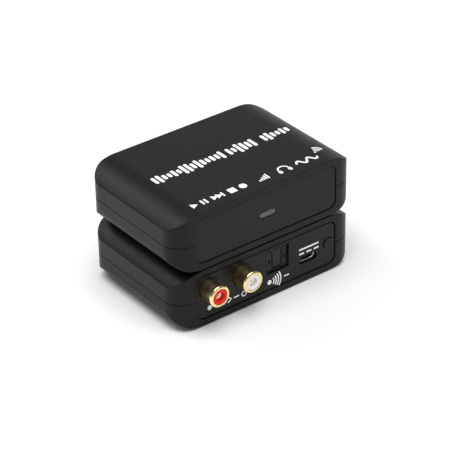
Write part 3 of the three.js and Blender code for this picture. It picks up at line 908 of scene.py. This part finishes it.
def top_marks(unit):
    """An abstract sound pattern in three groups, and a row of small pictograms towards the front."""
    row = -20.7
    marks = []
    for x0, x1, phase in ((-28.7, 1.8, 0.5), (3.8, 15.8, 2.1), (19.6, 31.4, 3.6)):
        marks += sound_bars(x0, x1, phase)
    marks += media_symbols(-28.6, row)
    marks += signal_steps(0.3, row)
    marks += headphones(11.8, row)
    marks.append(sine_line(17.6, row))
    marks += radio_sign(28.0, row + 2.4, 0.45, (1.35, 2.3, 3.25), 2, 72, 0.5)
    obj = print_marks("top_marks", marks, lambda u, v, lift: (u, v, HEIGHT + lift))
    add_piece(obj, unit, "top_shell", slot="white_plastic", stands_in=False)


def rear_marks(unit):
    """Plain symbols beside the sockets; u runs to the right as seen facing the rear."""
    sockets = ("rca_right_sleeve", "rca_left_sleeve", "optical_housing", "usb_shell")
    red, white, port, power = [-middle(node).x / MM for node in sockets]
    marks = [
        dot(red, 6.1, 0.95),
        chevron(red + 6.15, 5.9),
        chevron(red + 8.15, 5.9),
        pill(white - 4.05, white - 1.55, 5.85, 0.6),
        ring_mark((white + 0.6, 5.7), 0.95, 0.5),
        pill(port + 2.6, port + 5.1, 5.6, 0.55),
        pill(power - 4.2, power + 5.0, 13.6, 0.7),
    ]
    marks += radio_sign(port - 3.9, 5.6, 0.95, (2.0, 3.05, 4.1, 5.15), -32, 32, 0.55)
    for k in range(3):
        dash = power - 4.2 + 3.4 * k
        marks.append(pill(dash, dash + 2.4, 11.75, 0.7))
    obj = print_marks("rear_marks", marks, lambda u, v, lift: (-u, REAR - PANEL_FACE + lift, v))
    add_piece(obj, unit, "rear_panel", slot="white_plastic", stands_in=False)


# ---------------------------------------------------------------- material helpers
FLOW_SCALE = 140           # pattern scales, in patches per metre
SMUDGE_SCALE = 420
TARNISH_SCALE = 500
# the next scale mottles the painted shade on a sleeve's barrel
BARREL_SHADE_SCALE = 350
SCRATCH_SCALE = 1500
TRACK_SCALE = 260
MASK_SCALE = 300
PAPER_SCALE = 3
SCRATCH_STRETCH = (1, 14, 1)
NOISE_RANGE = (0.3, 0.7)   # where most of a noise value lies


def opaque(color):
    """A plain colour with full alpha; another node's output is left as it is."""
    return (*color, 1) if isinstance(color, tuple) else color


class Look:
    """A material in the making, with a short call for each kind of node used here.

    Wherever a call takes a value, it takes a plain value or another node's output.
    """

    def __init__(self, name):
        self.material = bpy.data.materials.new(name)
        self.material.use_nodes = True
        self.nodes = self.material.node_tree.nodes
        self.links = self.material.node_tree.links
        self.place = self.nodes.new("ShaderNodeTexCoord").outputs["Object"]

    def fill(self, node, inputs):
        for key, value in inputs.items():
            if isinstance(value, bpy.types.NodeSocket):
                self.links.new(value, node.inputs[key])
            else:
                node.inputs[key].default_value = value

    def add(self, kind, inputs, **settings):
        node = self.nodes.new(kind)
        for key, value in settings.items():
            setattr(node, key, value)
        self.fill(node, inputs)
        return node.outputs

    def noise(self, scale, detail=3.0, rough=0.5, stretch=None):
        """A cloudy value, drawn out along an axis where stretch says so."""
        place = self.place
        if stretch:
            place = self.add("ShaderNodeMapping", {"Vector": place, "Scale": stretch})["Vector"]
        inputs = {"Vector": place, "Scale": scale, "Detail": detail, "Roughness": rough}
        return self.add("ShaderNodeTexNoise", inputs)["Fac"]

    def map_range(self, value, source, target):
        """Maps a value from one (low, high) range onto another, and holds it inside."""
        ends = dict(zip(("From Min", "From Max", "To Min", "To Max"), (*source, *target)))
        return self.add("ShaderNodeMapRange", {"Value": value, **ends})["Result"]

    def mix(self, factor, first, second):
        """Blends two colours."""
        inputs = {"Factor": factor, "A": opaque(first), "B": opaque(second)}
        return self.add("ShaderNodeMix", inputs, data_type="RGBA")["Result"]

    def calculate(self, operation, *values):
        return self.add("ShaderNodeMath", dict(enumerate(values)), operation=operation)["Value"]

    def bump(self, height, depth):
        inputs = {"Height": height, "Strength": 1.0, "Distance": depth}
        return self.add("ShaderNodeBump", inputs)["Normal"]

    def scratches(self, depth):
        return self.bump(self.noise(SCRATCH_SCALE, stretch=SCRATCH_STRETCH), depth)

    def finish(self, inputs):
        """Fills the surface shader and gives the material."""
        self.fill(self.nodes["Principled BSDF"], inputs)
        return self.material


def moulded(name, dark, light, rough, specular, grain_size, grain_depth):
    """Injection-moulded plastic: fine spark-eroded grain, faint flow mottling, uneven satin."""
    look = Look(name)
    smudge = look.noise(SMUDGE_SCALE, detail=5, rough=0.6)
    return look.finish({
        "Base Color": look.mix(look.noise(FLOW_SCALE, detail=4), dark, light),
        "Roughness": look.map_range(smudge, NOISE_RANGE, rough),
        "Specular IOR Level": specular,
        "Normal": look.bump(look.noise(1 / grain_size, detail=2), grain_depth),
    })


def plated(name, dark, light, rough):
    """Plated metal with drawn scratches and slight tarnish."""
    look = Look(name)
    tarnish = look.noise(TARNISH_SCALE, detail=4)
    return look.finish({
        "Base Color": look.mix(tarnish, dark, light),
        "Roughness": look.map_range(tarnish, NOISE_RANGE, rough),
        "Metallic": 1.0,
        "Normal": look.scratches(0.001 * MM),
    })


# ---------------------------------------------------------------- materials
def black_case():
    return moulded("black_case", (0.0042, 0.0042, 0.0045), (0.0058, 0.0058, 0.0061),
                   rough=(0.38, 0.45), specular=0.21, grain_size=0.3 * MM, grain_depth=0.003 * MM)


def black_panel():
    return moulded("black_panel", (0.0046, 0.0046, 0.0049), (0.0060, 0.0060, 0.0063),
                   rough=(0.28, 0.34), specular=0.22, grain_size=0.3 * MM, grain_depth=0.0008 * MM)


def black_socket():
    return moulded("black_socket", (0.010, 0.010, 0.010), (0.014, 0.014, 0.014),
                   rough=(0.42, 0.55), specular=0.3, grain_size=0.2 * MM, grain_depth=0.003 * MM)


def rubber():
    return moulded("rubber", (0.007, 0.007, 0.007), (0.012, 0.012, 0.012),
                   rough=(0.75, 0.9), specular=0.3, grain_size=0.15 * MM, grain_depth=0.012 * MM)


def red_plastic():
    return moulded("red_plastic", (0.72, 0.014, 0.004), (0.80, 0.020, 0.006),
                   rough=(0.28, 0.38), specular=0.25, grain_size=0.25 * MM, grain_depth=0.002 * MM)


def white_plastic():
    return moulded("white_plastic", (0.93, 0.92, 0.89), (0.97, 0.96, 0.94),
                   rough=(0.35, 0.45), specular=0.5, grain_size=0.25 * MM, grain_depth=0.002 * MM)


def led_lens():
    return moulded("led_lens", (0.095, 0.095, 0.096), (0.11, 0.11, 0.112),
                   rough=(0.2, 0.3), specular=0.4, grain_size=0.3 * MM, grain_depth=0.001 * MM)


def clear_resin():
    return moulded("clear_resin", (0.60, 0.63, 0.60), (0.70, 0.73, 0.70),
                   rough=(0.1, 0.18), specular=0.5, grain_size=0.4 * MM, grain_depth=0.002 * MM)


def gilt_metal():
    """Gold plate: pale and bright on a sleeve's rim, a darker browner gold on its barrel as painted shade
    with a random mottle, and a painted dark shade line on the step between.
    """
    look = Look("gilt_metal")
    rim_back = local_box("rca_left_sleeve")[1].y - DOME - RIM_WIDE
    blur = 0.1 * MM
    reach = look.add("ShaderNodeSeparateXYZ", {"Vector": look.place})["Y"]
    from_middle = look.calculate("ABSOLUTE", reach)
    on_rim = look.map_range(from_middle, (rim_back - blur, rim_back + blur), (0, 1))
    # painted shade: the step between root and neck is coloured nearly black, a drawn dark line where the
    # step face would catch light
    step_shade_mask = look.calculate("COMPARE", from_middle, REAR + ROOT_REACH, 0.14 * MM)
    bright = look.mix(look.noise(TARNISH_SCALE, detail=4), (0.92, 0.70, 0.32), (1.0, 0.84, 0.44))
    # painted shade: the barrel gets a darker, browner gold than the rim, standing in for the dark box
    # faces it reflects; the noise adds a random mottle
    barrel_shade = look.mix(look.noise(BARREL_SHADE_SCALE, detail=4), (0.66, 0.52, 0.29), (0.84, 0.67, 0.39))
    barrel = look.mix(step_shade_mask, barrel_shade, (0.05, 0.035, 0.02))
    return look.finish({
        "Base Color": look.mix(on_rim, barrel, bright),
        "Roughness": look.map_range(on_rim, (0, 1), (0.30, 0.14)),
        "Metallic": 1.0,
        "Normal": look.scratches(0.0002 * MM),
    })


def contact_metal():
    return plated("contact_metal", (0.92, 0.82, 0.66), (1.0, 0.92, 0.78), rough=(0.35, 0.5))


def tinned_steel():
    return plated("tinned_steel", (0.66, 0.66, 0.64), (0.80, 0.80, 0.78), rough=(0.25, 0.38))


def circuit_board():
    """Green solder mask over a faint pattern of tracks."""
    look = Look("circuit_board")
    tracks = look.add("ShaderNodeTexBrick", {
        "Vector": look.place,
        "Scale": TRACK_SCALE,
        "Mortar Size": 0.03,
        "Color1": (0.012, 0.11, 0.045, 1),
        "Color2": (0.016, 0.13, 0.055, 1),
        "Mortar": (0.05, 0.26, 0.11, 1),
    })
    return look.finish({
        "Base Color": tracks["Color"],
        "Roughness": look.map_range(look.noise(MASK_SCALE), NOISE_RANGE, (0.3, 0.45)),
        "Normal": look.bump(tracks["Fac"], 0.03 * MM),
    })


def floor_paper():
    """Matt, nearly white paper."""
    look = Look("floor")
    return look.finish({
        "Base Color": look.mix(look.noise(PAPER_SCALE), (0.93, 0.93, 0.93), (0.95, 0.95, 0.95)),
        "Roughness": 0.9,
        "Specular IOR Level": 0.1,
    })


MAKERS = {
    "shell": black_case,
    "panel": black_panel,
    "black_moulding": black_socket,
    "rubber": rubber,
    "red_plastic": red_plastic,
    "white_plastic": white_plastic,
    "led_lens": led_lens,
    "clear_resin": clear_resin,
    "gilt_metal": gilt_metal,
    "contact_metal": contact_metal,
    "tinned_steel": tinned_steel,
    "circuit_board": circuit_board,
}


def make_materials():
    for slot, make in MAKERS.items():
        MATERIALS[slot] = make()


# ---------------------------------------------------------------- studio
CAMERA = {
    "azimuth": math.radians(-37.07),
    "elevation": math.radians(31.62),
    "roll": math.radians(-1.06),
    "distance": 0.7437,
    "aim": Vector((0.001185, 0, 0.017544)),
    "lens": 164.66,
    "sensor": 36,
}
FLOOR_HALF = 3.0
WORLD_LIGHT = 0.25


def direction(azimuth, elevation):
    """A unit vector towards an azimuth, from -Y round towards +X, and an elevation."""
    return Vector((
        math.sin(azimuth) * math.cos(elevation),
        -math.cos(azimuth) * math.cos(elevation),
        math.sin(elevation),
    ))


def make_camera():
    back = direction(CAMERA["azimuth"], CAMERA["elevation"])
    level = Vector((math.cos(CAMERA["azimuth"]), math.sin(CAMERA["azimuth"]), 0))
    upward = back.cross(level)
    roll = CAMERA["roll"]
    right = level * math.cos(roll) + upward * math.sin(roll)
    up = upward * math.cos(roll) - level * math.sin(roll)
    data = bpy.data.cameras.new("camera")
    data.sensor_width = CAMERA["sensor"]
    data.lens = CAMERA["lens"]
    camera = link("camera", data)
    camera.matrix_world = Matrix((right, up, back)).transposed().to_4x4()
    camera.location = CAMERA["aim"] + back * CAMERA["distance"]
    bpy.context.scene.camera = camera


def make_floor():
    corners = [(sx * FLOOR_HALF, sy * FLOOR_HALF, 0) for sx, sy in ((-1, -1), (1, -1), (1, 1), (-1, 1))]
    floor = new_object("floor", corners, [(0, 1, 2, 3)])
    floor.data.materials.append(floor_paper())


def softbox(name, azimuth, elevation, distance, side, power):
    """A square area light that faces the object."""
    data = bpy.data.lights.new(name, "AREA")
    data.shape = "RECTANGLE"
    data.size = side
    data.size_y = side
    data.energy = power
    light = link(name, data)
    away = direction(math.radians(azimuth), math.radians(elevation))
    light.location = away * distance
    light.rotation_mode = "QUATERNION"
    light.rotation_quaternion = away.to_track_quat("Z", "Y")


def make_lights():
    world = bpy.data.worlds.new("studio")
    world.use_nodes = True
    backdrop = world.node_tree.nodes["Background"]
    backdrop.inputs["Color"].default_value = (1, 1, 1, 1)
    backdrop.inputs["Strength"].default_value = WORLD_LIGHT
    bpy.context.scene.world = world
    softbox("overhead", azimuth=-20, elevation=80, distance=1.2, side=1.1, power=15.0)
    softbox("left_back", azimuth=-155, elevation=42, distance=0.9, side=0.45, power=2.2)
    softbox("right_back", azimuth=140, elevation=20, distance=0.9, side=0.6, power=0.5)


# ---------------------------------------------------------------- the whole object
def make_unit(unit):
    bottom_shell(unit)
    top_shell(unit)
    front_panel(unit)
    rear_panel(unit)
    led_window(unit)
    for node in FEET:
        foot(unit, node)
    for node in SCREWS:
        case_screw(unit, node)
    for side in ("right", "left"):
        sleeve(unit, f"rca_{side}_sleeve")
        insulator(unit, f"rca_{side}_insulator")
        contact(unit, f"rca_{side}_contact")
    optical_housing(unit)
    optical_shutter(unit)
    usb_shell(unit)
    usb_tongue(unit)
    button_cap(unit)
    top_marks(unit)
    rear_marks(unit)


def dress_inner_nodes():
    """Gives every CAD node its slot's material; those that fine pieces stand for are hidden already."""
    for name, obj in frame["nodes"].items():
        obj.data.materials.clear()
        obj.data.materials.append(MATERIALS[SLOT_OF[name]])


make_camera()
make_materials()
for each in UNITS:
    make_unit(each)
dress_inner_nodes()
make_floor()
make_lights()
bpy.context.scene.view_settings.view_transform = "Standard"
